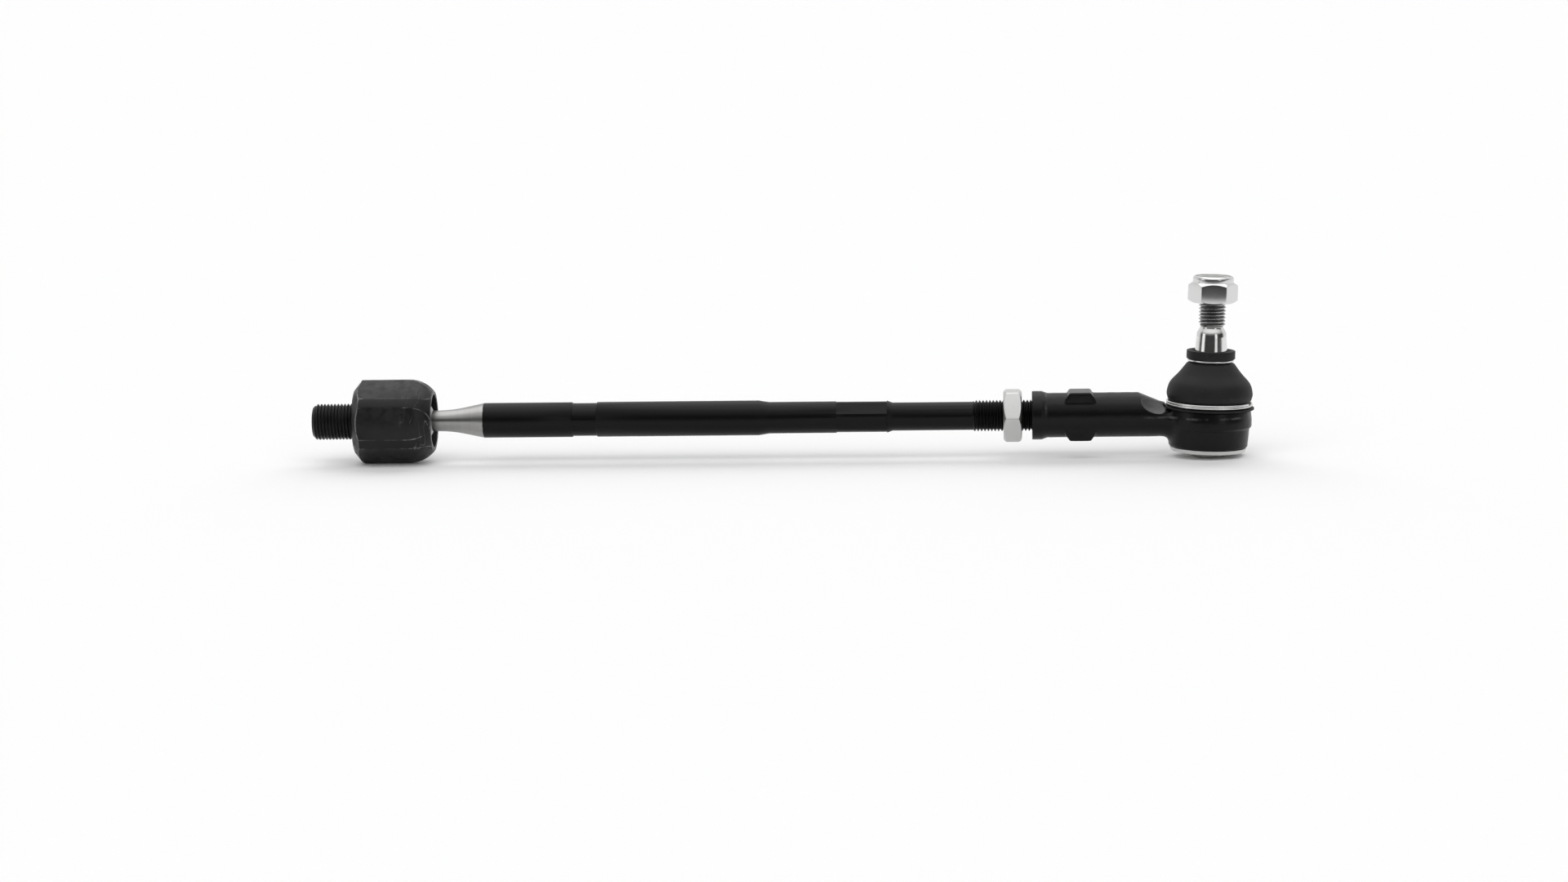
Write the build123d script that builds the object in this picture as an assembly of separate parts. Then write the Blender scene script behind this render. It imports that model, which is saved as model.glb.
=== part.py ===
from build123d import *
import math
import os

# Steering tie rod with an axial inner joint and an adjustable outer rod end.
# Millimetres. X runs along the rod from the rack shoulder, Z points up along the stud.

# Overall length, from the shoulder of the rack thread to the outer joint's axis
overall_length = 379.0
stud_lean = 2.0

# Running clearances, on the radius
thread_clearance = 0.05
ball_clearance = 0.05
seat_clearance = 0.05
clip_clearance = 0.05

# Rack thread on the back of the inner socket
rack_thread_diameter = 16.0
rack_thread_length = 19.0
rack_thread_chamfer = 1.5

# Inner socket, a round body with six flats and a nose rolled over the seat
socket_length = 35.1
socket_diameter = 37.1
socket_across_flats = 34.2
socket_flat_tilt = 3.5
socket_back_face_diameter = 28.8
socket_back_chamfer = 3.3
socket_nose_length = 10.7
socket_rim_diameter = 26.6
socket_mouth_diameter = 23.8

# Inner ball pin and its seat
inner_ball_diameter = 25.0
inner_ball_depth = 12.1
inner_seat_wall = 2.0
inner_seat_reach = 8.0

# Neck and shank of the rod
neck_diameter = 9.3
neck_length = 14.3
neck_blend_radius = 55.0
neck_cone_angle = 12.0
shank_diameter = 15.5
bellows_groove_diameter = 14.6
bellows_groove_length = 11.3
bellows_groove_reach = 74.0
bellows_groove_chamfer = 0.4

# Outer half of the rod, with spanner flats and the adjusting thread
step_length = 4.7
bar_diameter = 14.0
bar_length = 30.1
spanner_length = 22.1
spanner_diameter = 14.3
spanner_across_flats = 13.0
spanner_tilt = 13.0
spanner_runout = 2.5
blank_diameter = 12.5
blank_length = 36.2
rod_thread_diameter = 13.8
rod_thread_length = 54.3
rod_thread_engagement = 28.9
rod_thread_chamfer = 1.0

# Lock nut
lock_nut_across_flats = 22.0
lock_nut_height = 8.2
lock_nut_gap = 4.5
nut_chamfer_angle = 30.0
nut_face_share = 0.94

# Sleeve of the rod end
sleeve_reach = 77.9
sleeve_diameter = 19.7
sleeve_bore_depth = 42.0
sleeve_bore_chamfer = 0.8
collar_diameter = 21.5
collar_length = 4.2
collar_blend_length = 2.5
drill_point_angle = 59.0

# Spanner lug on the sleeve
lug_reach = 56.7
lug_half_width = 8.0
lug_half_height = 10.75
lug_top_length = 9.2
lug_base_length = 12.8
lug_base_height = 8.2
lug_edge_radius = 0.9

# Upper side of the arm, which slopes down to the joint
arm_slope = 22.6
arm_slope_start = 31.2
arm_crown_radius = 14.0

# Cup of the rod end, about the joint's axis
cup_top = 2.6
cup_top_diameter = 36.6
cup_ridge_height = -2.0
cup_ridge_diameter = 37.8
cup_step_height = -5.8
cup_step_length = 1.0
cup_waist_diameter = 35.9
cup_bottom = -14.6
cup_bottom_diameter = 34.8
cup_edge_radius = 0.8
cup_collar_diameter = 32.4
cup_collar_height = 4.4
cup_collar_groove_depth = 0.5
cup_bore_diameter = 26.4
cup_mouth_diameter = 21.2
cup_mouth_flare = 1.6
clip_relief = 0.6

# Outer ball, seat and cover plate
outer_ball_diameter = 22.0
outer_ball_height = -3.5
outer_seat_reach = 5.5
outer_seat_base = -12.4
cover_diameter = 33.6
cover_rim_taper = 0.4
cover_rim_height = 1.6
cover_dish_drop = 1.7
cover_boss_diameter = 15.8
cover_boss_height = 0.6
cover_boss_taper = 0.5
cover_spigot_height = 2.0
cover_thickness = 2.2

# Dust boot, about the joint's axis
boot_lip_diameter = 39.5
boot_lip_thickness = 0.8
boot_bead_diameter = 35.9
boot_bead_height = 3.2
boot_shoulder_diameter = 36.8
boot_belly_diameter = 37.8
boot_belly_share = 0.1835
boot_crown_diameter = 35.2
boot_crown_share = 0.4557
boot_cone_diameter = 27.6
boot_cone_share = 0.7278
boot_throat_diameter = 21.0
boot_throat_drop = 5.8
boot_neck_drop = 4.3
boot_top_height = 28.2
boot_top_diameter = 21.4
boot_top_dish = 1.2
boot_top_rim = 1.4
boot_wall = 1.6

# Wire clips of the boot
lower_clip_wire = 1.0
lower_clip_pitch = 0.95
lower_clip_gap_angle = 14.0
lower_clip_gap_at = -52.0
upper_clip_wire = 1.3
upper_clip_diameter = 19.1

# Ball stud, about the joint's axis
stud_neck_diameter = 11.5
stud_neck_top = 11.5
stud_flare_top = 15.5
stud_taper_ratio = 6.0
stud_taper_start = 25.0
stud_taper_end = 36.0
stud_shank_diameter = 14.8
stud_undercut_diameter = 9.8
stud_thread_start = 38.8
stud_thread_diameter = 12.0
stud_thread_length = 19.7
stud_thread_chamfer = 1.0

# Stud nut with a locking insert
stud_nut_height_above_joint = 49.3
stud_nut_across_flats = 19.0
stud_nut_hex_height = 9.0
stud_nut_collar_diameter = 17.9
stud_nut_collar_height = 2.8
stud_nut_collar_wall = 0.9
stud_nut_collar_lip = 0.5
insert_height = 2.3

# Places along the rod
inner_ball_x = socket_length - inner_ball_depth
sleeve_x = overall_length - sleeve_reach
rod_thread_end_x = sleeve_x + rod_thread_engagement
rod_thread_start_x = rod_thread_end_x - rod_thread_length
spanner_end_x = rod_thread_start_x - blank_length - spanner_runout
spanner_x = spanner_end_x - spanner_length
lock_nut_x = sleeve_x - lock_nut_gap - lock_nut_height
outer_joint = Location((overall_length, 0, 0), (0, stud_lean, 0))

# Heights of the boot, between its bead and its top
boot_bead_top = cup_top + boot_lip_thickness + boot_bead_height
boot_throat_height = boot_top_height - boot_throat_drop
boot_neck_height = boot_top_height - boot_neck_drop
boot_bell_height = boot_throat_height - boot_bead_top
boot_belly_height = boot_bead_top + boot_belly_share * boot_bell_height
boot_crown_height = boot_bead_top + boot_crown_share * boot_bell_height
boot_cone_height = boot_bead_top + boot_cone_share * boot_bell_height

# Radii that fit into each other
inner_seat_radius = inner_ball_diameter / 2 + ball_clearance + inner_seat_wall
outer_seat_radius = cup_bore_diameter / 2 - seat_clearance
lower_clip_radius = (boot_bead_diameter + lower_clip_wire) / 2
boot_neck_radius = (upper_clip_diameter - upper_clip_wire) / 2 - clip_clearance
stud_bore_radius = stud_shank_diameter / 2 + clip_clearance


def turned_about_x(outline):
    """Solid of revolution about X from a closed outline of (x, radius) edges."""
    face = make_face(Plane.XZ * outline)
    return revolve(face, Axis.X)


def turned_about_z(outline, angle=360):
    """Solid of revolution about Z from a closed outline of (radius, z) edges."""
    face = make_face(Plane.XZ * outline)
    return revolve(face, Axis.Z, angle)


def rod_along_x(start, length, diameter):
    """Plain cylinder on the X axis."""
    base = Plane.YZ.offset(start)
    return extrude(base * Circle(diameter / 2), length)


def ball_at(diameter, x=0.0, z=0.0):
    return Pos(x, 0, z) * Sphere(diameter / 2)


def hexagon_prism(across_flats, height):
    """Upright hexagon with flats that face along Y."""
    outline = RegularPolygon(across_flats / 2, 6, major_radius=False)
    return extrude(outline, height)


def chamfered_hexagon(across_flats, height):
    """Nut blank whose corners are turned off by a cone at both faces."""
    face_radius = across_flats / 2 * nut_face_share
    corner_radius = across_flats / math.sqrt(3)
    drop = (corner_radius - face_radius) * math.tan(math.radians(nut_chamfer_angle))
    outline = Polyline(
        (0, 0),
        (face_radius, 0),
        (corner_radius, drop),
        (corner_radius, height - drop),
        (face_radius, height),
        (0, height),
        close=True,
    )
    return hexagon_prism(across_flats, height) & turned_about_z(outline)


def socket_outside():
    """Body of the inner socket, turned first and then given its six flats."""
    radius = socket_diameter / 2
    nose_x = socket_length - socket_nose_length
    turned = Polyline(
        (socket_length, socket_rim_diameter / 2),
        (socket_length, 0),
        (0, 0),
        (0, socket_back_face_diameter / 2),
        (socket_back_chamfer, radius),
        (nose_x, radius),
    ) + TangentArc(
        (nose_x, radius), (socket_length, socket_rim_diameter / 2), tangent=(1, 0)
    )
    body = turned_about_x(turned)
    flat = socket_across_flats / 2
    below = -socket_diameter
    flattened = Polyline(
        (socket_length, socket_rim_diameter / 2),
        (socket_length, below),
        (0, below),
        (0, flat),
        (nose_x, flat),
    ) + TangentArc(
        (nose_x, flat), (socket_length, socket_rim_diameter / 2), tangent=(1, 0)
    )
    slab = extrude(make_face(Plane.XZ * flattened), socket_diameter, both=True)
    for flat_number in range(6):
        turn = 90 - socket_flat_tilt + 60 * flat_number
        body = body & Rot(turn, 0, 0) * slab
    return body


def inner_socket():
    """Inner socket with its rack thread, hollow round the seat."""
    cavity_diameter = 2 * (inner_seat_radius + seat_clearance)
    mouth_x = inner_ball_x + inner_seat_reach
    body = socket_outside()
    body -= ball_at(cavity_diameter, inner_ball_x)
    body -= rod_along_x(mouth_x, inner_ball_depth, socket_mouth_diameter)
    thread_radius = rack_thread_diameter / 2
    thread = Polyline(
        (0, 0),
        (0, thread_radius),
        (rack_thread_chamfer - rack_thread_length, thread_radius),
        (-rack_thread_length, thread_radius - rack_thread_chamfer),
        (-rack_thread_length, 0),
        close=True,
    )
    return body + turned_about_x(thread)


def inner_ball_seat():
    """Moulded cup round the inner ball, open towards the rod."""
    seat = ball_at(2 * inner_seat_radius, inner_ball_x)
    seat -= ball_at(inner_ball_diameter + 2 * ball_clearance, inner_ball_x)
    front = inner_ball_x + inner_seat_reach
    seat -= rod_along_x(front, inner_ball_diameter, 2 * inner_ball_diameter)
    return seat


def shaft_outline():
    """Turned outline of the rod from inside the ball to the end of its thread."""
    neck_radius = neck_diameter / 2
    shank_radius = shank_diameter / 2
    cone = math.radians(neck_cone_angle)
    neck_end = (inner_ball_x + neck_length, neck_radius)
    blend_end = (
        neck_end[0] + neck_blend_radius * math.sin(cone),
        neck_radius + neck_blend_radius * (1 - math.cos(cone)),
    )
    cone_end_x = blend_end[0] + (shank_radius - blend_end[1]) / math.tan(cone)
    groove_x = inner_ball_x + bellows_groove_reach
    groove_end_x = groove_x + bellows_groove_length
    groove_radius = bellows_groove_diameter / 2
    step_end_x = spanner_x - bar_length
    spanner_rise = (spanner_diameter - bar_diameter) / 2
    thread_root = rod_thread_diameter / 2 - rod_thread_chamfer
    blank_radius = blank_diameter / 2
    root_rise = rod_thread_diameter / 2 - blank_radius
    neck = Polyline((inner_ball_x, 0), (inner_ball_x, neck_radius), neck_end)
    blend = TangentArc(neck_end, blend_end, tangent=(1, 0))
    rest = Polyline(
        blend_end,
        (cone_end_x, shank_radius),
        (groove_x, shank_radius),
        (groove_x + bellows_groove_chamfer, groove_radius),
        (groove_end_x - bellows_groove_chamfer, groove_radius),
        (groove_end_x, shank_radius),
        (step_end_x - step_length, shank_radius),
        (step_end_x, bar_diameter / 2),
        (spanner_x - spanner_rise, bar_diameter / 2),
        (spanner_x, spanner_diameter / 2),
        (spanner_end_x, spanner_diameter / 2),
        (spanner_end_x + spanner_runout, blank_radius),
        (rod_thread_start_x - root_rise, blank_radius),
        (rod_thread_start_x, rod_thread_diameter / 2),
        (rod_thread_end_x - rod_thread_chamfer, rod_thread_diameter / 2),
        (rod_thread_end_x, thread_root),
        (rod_thread_end_x, 0),
        (inner_ball_x, 0),
    )
    return neck + blend + rest


def spanner_flats_cutter():
    """Ring with a hexagonal hole that mills the six spanner flats."""
    flat_radius = spanner_across_flats / 2
    outside = shank_diameter
    slope = outside - flat_radius
    ring = Polyline(
        (spanner_x, flat_radius),
        (spanner_x - slope, outside),
        (spanner_end_x, outside),
        (spanner_end_x, flat_radius),
        close=True,
    )
    hexagon = hexagon_prism(spanner_across_flats, spanner_length + slope)
    placed = Rot(90 - spanner_tilt, 0, 0) * Rot(0, 90, 0) * Pos(0, 0, spanner_x - slope)
    return turned_about_x(ring) - placed * hexagon


def tie_rod_shaft():
    """Ball pin and rod, forged and turned in one piece."""
    shaft = turned_about_x(shaft_outline())
    shaft += ball_at(inner_ball_diameter, inner_ball_x)
    return shaft - spanner_flats_cutter()


def lock_nut():
    """Thin hexagon nut with flats above and below the rod."""
    blank = chamfered_hexagon(lock_nut_across_flats, lock_nut_height)
    bore = Cylinder(rod_thread_diameter / 2 + thread_clearance, 3 * lock_nut_height)
    placed = Pos(lock_nut_x, 0, 0) * Rot(90, 0, 0) * Rot(0, 90, 0)
    return placed * (blank - bore)


def sleeve():
    """Round sleeve with its end collar, as far as the cup's axis."""
    collar_radius = collar_diameter / 2
    sleeve_radius = sleeve_diameter / 2
    collar_end = sleeve_x + collar_length
    outline = Polyline(
        (sleeve_x, 0),
        (sleeve_x, collar_radius),
        (collar_end, collar_radius),
        (collar_end + collar_blend_length, sleeve_radius),
        (overall_length, sleeve_radius),
        (overall_length, 0),
        close=True,
    )
    return turned_about_x(outline)


def arm_crown():
    """Long inclined cylinder that the sloping upper side of the arm follows."""
    top = Pos(overall_length - arm_slope_start, 0, sleeve_diameter / 2)
    lie_along_slope = Rot(0, arm_slope, 0) * Pos(0, 0, -arm_crown_radius) * Rot(0, 90, 0)
    return top * lie_along_slope * Cylinder(arm_crown_radius, 6 * arm_crown_radius)


def spanner_lug():
    """Block across the sleeve that a spanner holds, drafted like a forging."""
    x = overall_length - lug_reach
    top = lug_top_length / 2
    base = lug_base_length / 2
    outline = Polyline(
        (x - base, -lug_base_height),
        (x - top, -lug_half_height),
        (x + top, -lug_half_height),
        (x + base, -lug_base_height),
        (x + base, lug_base_height),
        (x + top, lug_half_height),
        (x - top, lug_half_height),
        (x - base, lug_base_height),
        close=True,
    )
    block = extrude(make_face(Plane.XZ * outline), lug_half_width, both=True)
    edges = block.edges().filter_by(lambda edge: abs(edge.center().Z) > lug_base_height + 0.1)
    return fillet(edges, lug_edge_radius)


def cup_outside():
    """Outside of the cup, about the joint's own axis."""
    bottom_radius = cup_bottom_diameter / 2
    collar_radius = cup_collar_diameter / 2
    collar_top = cup_top + cup_collar_height
    outline = Polyline(
        (0, cup_bottom),
        (bottom_radius - cup_edge_radius, cup_bottom),
        (bottom_radius, cup_bottom + cup_edge_radius),
        (cup_waist_diameter / 2, cup_step_height),
        (cup_ridge_diameter / 2, cup_step_height + cup_step_length),
        (cup_ridge_diameter / 2, cup_ridge_height),
        (cup_top_diameter / 2, cup_top),
        (collar_radius, cup_top),
        (collar_radius, collar_top),
        (0, collar_top),
        close=True,
    )
    return turned_about_z(outline)


def cup_inside():
    """Room for the seat and ball, narrowed at the top so that they can't leave."""
    mouth_radius = cup_mouth_diameter / 2
    bore_radius = cup_bore_diameter / 2
    flare_top = cup_top + cup_collar_height
    bore = Pos(0, 0, outer_ball_height) * Sphere(bore_radius)
    shaft_length = outer_ball_height - cup_bottom
    bore += Pos(0, 0, cup_bottom + shaft_length / 2) * Cylinder(bore_radius, shaft_length)
    mouth = Polyline(
        (0, outer_ball_height),
        (mouth_radius, outer_ball_height),
        (mouth_radius, flare_top - cup_mouth_flare),
        (mouth_radius + cup_mouth_flare, flare_top),
        (0, flare_top),
        close=True,
    )
    return bore + turned_about_z(mouth)


def clip_room():
    """Disc cut out of the arm so that it clears the boot's lip and its clip."""
    radius = boot_lip_diameter / 2 + clip_relief
    floor = cup_top - clip_relief
    return Pos(0, 0, floor + sleeve_diameter / 2) * Cylinder(radius, sleeve_diameter)


def boot_bead_groove():
    """Groove round the cup's collar that holds the boot's bead."""
    width = boot_bead_height / 2
    collar_radius = cup_collar_diameter / 2
    ring = Cylinder(collar_radius + 1, width)
    ring -= Cylinder(collar_radius - cup_collar_groove_depth, width)
    return Pos(0, 0, cup_top + boot_lip_thickness + boot_bead_height / 2) * ring


def sleeve_bore():
    """Threaded bore of the sleeve with a lead-in and a drill point."""
    radius = rod_thread_diameter / 2 + thread_clearance
    end = sleeve_x + sleeve_bore_depth
    point = radius / math.tan(math.radians(drill_point_angle))
    outline = Polyline(
        (sleeve_x, 0),
        (sleeve_x, radius + sleeve_bore_chamfer),
        (sleeve_x + sleeve_bore_chamfer, radius),
        (end, radius),
        (end + point, 0),
        close=True,
    )
    return turned_about_x(outline)


def rod_end_housing():
    """Forged rod end: collared sleeve, spanner lug, sloping arm and ball cup."""
    arm_start = overall_length - arm_slope_start
    round_part = sleeve() - rod_along_x(arm_start, arm_slope_start, collar_diameter)
    arm = (sleeve() - rod_along_x(sleeve_x, arm_start - sleeve_x, collar_diameter)) & arm_crown()
    body = round_part + arm - outer_joint * clip_room()
    body += outer_joint * cup_outside()
    body += spanner_lug()
    body -= outer_joint * cup_inside()
    body -= outer_joint * boot_bead_groove()
    return body - sleeve_bore()


def outer_ball_seat():
    """Moulded seat that fills the cup round the outer ball."""
    length = outer_ball_height - outer_seat_base
    seat = Pos(0, 0, outer_ball_height) * Sphere(outer_seat_radius)
    seat += Pos(0, 0, outer_seat_base + length / 2) * Cylinder(outer_seat_radius, length)
    seat -= ball_at(outer_ball_diameter + 2 * ball_clearance, 0, outer_ball_height)
    top = outer_ball_height + outer_seat_reach
    height = cup_bore_diameter
    seat -= Pos(0, 0, top + height / 2) * Cylinder(height, height)
    seat -= Pos(0, 0, outer_seat_base - height / 2) * Cylinder(height, height)
    return outer_joint * seat


def cover_plate():
    """Dished plate that closes the cup from below."""
    radius = cover_diameter / 2
    boss = cover_boss_diameter / 2
    rim_z = cup_bottom - cover_rim_height
    dish_z = rim_z - cover_dish_drop
    floor_z = dish_z - cover_boss_height
    spigot = cup_bore_diameter / 2 - seat_clearance
    top_z = cup_bottom + cover_spigot_height
    outline = Polyline(
        (0, floor_z),
        (boss - cover_boss_taper, floor_z),
        (boss, dish_z),
        (radius - cover_rim_taper, rim_z),
        (radius, cup_bottom),
        (spigot, cup_bottom),
        (spigot, top_z),
        (spigot - cover_thickness, top_z),
        (boss, floor_z + cover_thickness),
        (0, floor_z + cover_thickness),
        close=True,
    )
    return outer_joint * turned_about_z(outline)


def dust_boot():
    """Bell-shaped boot, a thin wall from the cup's collar up to the stud."""
    lip = boot_lip_diameter / 2
    lip_top = cup_top + boot_lip_thickness
    bead = boot_bead_diameter / 2
    shoulder = boot_shoulder_diameter / 2
    collar = cup_collar_diameter / 2
    throat = boot_throat_diameter / 2
    neck_low = boot_neck_height - upper_clip_wire / 2
    neck_high = boot_neck_height + upper_clip_wire / 2
    top = boot_top_diameter / 2
    wall = boot_wall
    belly = boot_belly_diameter / 2
    crown = boot_crown_diameter / 2
    cone = boot_cone_diameter / 2
    collar_top = cup_top + cup_collar_height
    foot = Polyline(
        (collar + clip_clearance, cup_top),
        (lip, cup_top),
        (lip, lip_top),
        (bead, lip_top),
        (bead, boot_bead_top),
        (shoulder, boot_bead_top),
    )
    outside = Spline(
        (shoulder, boot_bead_top),
        (belly, boot_belly_height),
        (crown, boot_crown_height),
        (cone, boot_cone_height),
        (throat, boot_throat_height),
    )
    head = Polyline(
        (throat, boot_throat_height),
        (boot_neck_radius, neck_low),
        (boot_neck_radius, neck_high),
        (top, neck_high),
        (top, boot_top_height),
        (top - boot_top_rim, boot_top_height),
        (stud_bore_radius, boot_top_height - boot_top_dish),
        (stud_bore_radius, boot_throat_height - wall),
        (throat - wall, boot_throat_height - wall),
    )
    inside = Spline(
        (throat - wall, boot_throat_height - wall),
        (cone - wall, boot_cone_height - wall),
        (crown - wall, boot_crown_height - wall / 2),
        (belly - wall, boot_belly_height),
        (collar + clip_clearance, collar_top),
    )
    close_up = Line((collar + clip_clearance, collar_top), (collar + clip_clearance, cup_top))
    return outer_joint * turned_about_z(foot + outside + head + inside + close_up)


def lower_boot_clip():
    """Spring wire wound twice round the boot's bead, with one cut end showing."""
    first_z = cup_top + boot_lip_thickness + lower_clip_wire
    wire = Circle(lower_clip_wire / 2)
    lower = Plane.XZ * Pos(lower_clip_radius + clip_clearance, first_z) * wire
    upper = Plane.XZ * Pos(lower_clip_radius + clip_clearance, first_z + lower_clip_pitch) * wire
    open_turn = revolve(upper, Axis.Z, 360 - lower_clip_gap_angle)
    clip = revolve(lower, Axis.Z) + open_turn
    return outer_joint * Rot(0, 0, lower_clip_gap_at) * clip


def upper_boot_clip():
    """Single wire ring that holds the boot's neck to the stud."""
    section = Plane.XZ * Pos(upper_clip_diameter / 2, boot_neck_height) * Circle(upper_clip_wire / 2)
    return outer_joint * revolve(section, Axis.Z)


def ball_stud():
    """Ball, necked shank, taper and thread of the outer joint in one piece."""
    neck_radius = stud_neck_diameter / 2
    shank_radius = stud_shank_diameter / 2
    taper_length = stud_taper_end - stud_taper_start
    taper_top = shank_radius - taper_length / (2 * stud_taper_ratio)
    thread_radius = stud_thread_diameter / 2
    undercut = stud_undercut_diameter / 2
    thread_end = stud_thread_start + stud_thread_length
    outline = Polyline(
        (0, outer_ball_height),
        (neck_radius, outer_ball_height),
        (neck_radius, stud_neck_top),
        (shank_radius, stud_flare_top),
        (shank_radius, stud_taper_start),
        (taper_top, stud_taper_end),
        (undercut, stud_thread_start),
        (thread_radius, stud_thread_start + thread_radius - undercut),
        (thread_radius, thread_end - stud_thread_chamfer),
        (thread_radius - stud_thread_chamfer, thread_end),
        (0, thread_end),
        close=True,
    )
    stud = turned_about_z(outline) + ball_at(outer_ball_diameter, 0, outer_ball_height)
    return outer_joint * stud


def stud_nut():
    """Hexagon nut with a collar that is rolled over the locking insert."""
    blank = chamfered_hexagon(stud_nut_across_flats, stud_nut_hex_height)
    radius = stud_nut_collar_diameter / 2
    height = stud_nut_hex_height + stud_nut_collar_height
    collar = Polyline(
        (0, stud_nut_hex_height / 2),
        (radius, stud_nut_hex_height / 2),
        (radius, height - stud_nut_collar_lip),
        (radius - stud_nut_collar_lip, height),
        (0, height),
        close=True,
    )
    pocket_radius = radius - stud_nut_collar_wall
    pocket_top = height - stud_nut_collar_lip
    pocket = Polyline(
        (0, pocket_top - insert_height),
        (pocket_radius, pocket_top - insert_height),
        (pocket_radius, pocket_top),
        (pocket_radius - stud_nut_collar_lip, height),
        (0, height),
        close=True,
    )
    nut = blank + turned_about_z(collar) - turned_about_z(pocket)
    nut -= Cylinder(stud_thread_diameter / 2 + thread_clearance, 3 * height)
    return outer_joint * Pos(0, 0, stud_nut_height_above_joint) * nut


def stud_nut_insert():
    """Plastic ring that grips the stud's thread."""
    radius = stud_nut_collar_diameter / 2 - stud_nut_collar_wall - seat_clearance
    ring = Cylinder(radius, insert_height)
    ring -= Cylinder(stud_thread_diameter / 2 + thread_clearance, 2 * insert_height)
    top = stud_nut_hex_height + stud_nut_collar_height - stud_nut_collar_lip
    place = stud_nut_height_above_joint + top - insert_height / 2
    return outer_joint * Pos(0, 0, place) * ring


parts = {
    "inner_socket": inner_socket,
    "inner_ball_seat": inner_ball_seat,
    "tie_rod_shaft": tie_rod_shaft,
    "lock_nut": lock_nut,
    "rod_end_housing": rod_end_housing,
    "outer_ball_seat": outer_ball_seat,
    "cover_plate": cover_plate,
    "dust_boot": dust_boot,
    "lower_boot_clip": lower_boot_clip,
    "upper_boot_clip": upper_boot_clip,
    "ball_stud": ball_stud,
    "stud_nut": stud_nut,
    "stud_nut_insert": stud_nut_insert,
}

os.makedirs("parts", exist_ok=True)
for name, make in parts.items():
    export_step(make(), "parts/" + name + ".step")
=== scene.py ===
import math

import bmesh
import bpy
from mathutils import Euler, Matrix, Vector, noise

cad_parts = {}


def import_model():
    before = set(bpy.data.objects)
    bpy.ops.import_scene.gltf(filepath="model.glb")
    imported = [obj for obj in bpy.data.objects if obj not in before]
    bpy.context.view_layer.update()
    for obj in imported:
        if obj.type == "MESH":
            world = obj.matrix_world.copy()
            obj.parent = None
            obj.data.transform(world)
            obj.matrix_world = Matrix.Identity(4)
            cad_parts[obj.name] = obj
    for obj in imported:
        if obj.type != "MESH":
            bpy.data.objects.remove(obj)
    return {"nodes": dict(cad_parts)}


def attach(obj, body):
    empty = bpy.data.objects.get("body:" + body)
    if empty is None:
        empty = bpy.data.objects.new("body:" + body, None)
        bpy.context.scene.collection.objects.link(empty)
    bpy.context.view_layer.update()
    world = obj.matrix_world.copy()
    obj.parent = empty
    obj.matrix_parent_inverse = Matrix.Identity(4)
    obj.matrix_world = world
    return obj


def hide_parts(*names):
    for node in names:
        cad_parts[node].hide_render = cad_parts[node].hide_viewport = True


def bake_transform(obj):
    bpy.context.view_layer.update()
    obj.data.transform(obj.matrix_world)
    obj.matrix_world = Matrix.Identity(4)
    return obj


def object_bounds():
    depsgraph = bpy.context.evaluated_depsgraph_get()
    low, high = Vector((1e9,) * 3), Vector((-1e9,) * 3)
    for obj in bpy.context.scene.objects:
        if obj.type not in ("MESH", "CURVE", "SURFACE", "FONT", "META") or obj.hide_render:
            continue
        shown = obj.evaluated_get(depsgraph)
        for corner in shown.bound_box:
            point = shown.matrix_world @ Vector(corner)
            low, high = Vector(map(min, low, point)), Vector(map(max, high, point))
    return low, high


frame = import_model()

# Everything is in metres, in the CAD's frame: X along the rod, Z up along the stud.
MM = 0.001
NODES = frame["nodes"]
CAD_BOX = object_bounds()
FLOOR_Z = CAD_BOX[0].z - 0.02 * MM

# The outer joint stands at the end of the rod and leans with its stud.
STUD_LEAN = math.radians(2)
OUTER_JOINT = Matrix.Translation((0.379, 0, 0)) @ Matrix.Rotation(STUD_LEAN, 4, "Y")
JOINT_AXES = OUTER_JOINT.to_3x3()
ALONG_ROD = Matrix.Rotation(math.radians(90), 4, "Y")
AWAY_FROM_ROD = Matrix.Rotation(math.radians(-90), 4, "Y")

# The inner socket's nose and flats, with the radii of its round body and across its flats, and of their noses
NOSE_START = 24.4 * MM
FLAT_TURN = math.radians(30 - 3.5)
ROUND_BODY, ROUND_NOSE = 18.55 * MM, 13.53 * MM
FLAT_BODY, FLAT_NOSE = 17.1 * MM, 16.96 * MM

# Where a finish begins to change along the rod, and where it has changed
RUBBED_BACK = (4.5 * MM, 7 * MM)
RUBBED_NOSE = (21 * MM, 25 * MM)
SCRATCHED_NOSE = (20 * MM, 27 * MM)
PAINT_START = (57.6 * MM, 57.9 * MM)
PARTING_LINE = (349 * MM, 355 * MM)

# Other places along the rod
ROD_THREAD_START = 275.0 * MM
ROD_THREAD_END = 330.0 * MM
LOCK_NUT_START = 288.4 * MM
SLEEVE_COLLAR = 307.2 * MM
LUG_MIDDLE = 326 * MM

# Heights on the outer joint's axis
STUD_THREAD_START = 39.0 * MM
STUD_THREAD_END = 58.5 * MM
STUD_NUT_START = 49.3 * MM

# The nuts' bores, which clear the threads of the rod and the stud
LOCK_NUT_BORE = 6.95 * MM
STUD_NUT_BORE = 6.05 * MM

# The shallow dish in the front shoulder of the rod end's arm is part of a sphere.
DISH_RADIUS = 11.5 * MM
DISH_DEPTH = 1.7 * MM
DISH_FACING = Vector((0.26, -0.60, 0.756))
DISH_CENTRE = Vector((354.6, -7.3, 5.0)) * MM + DISH_FACING * (DISH_RADIUS - DISH_DEPTH)

# Points closer than this are one point.
WELD = 1e-7


# Node trees

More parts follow.
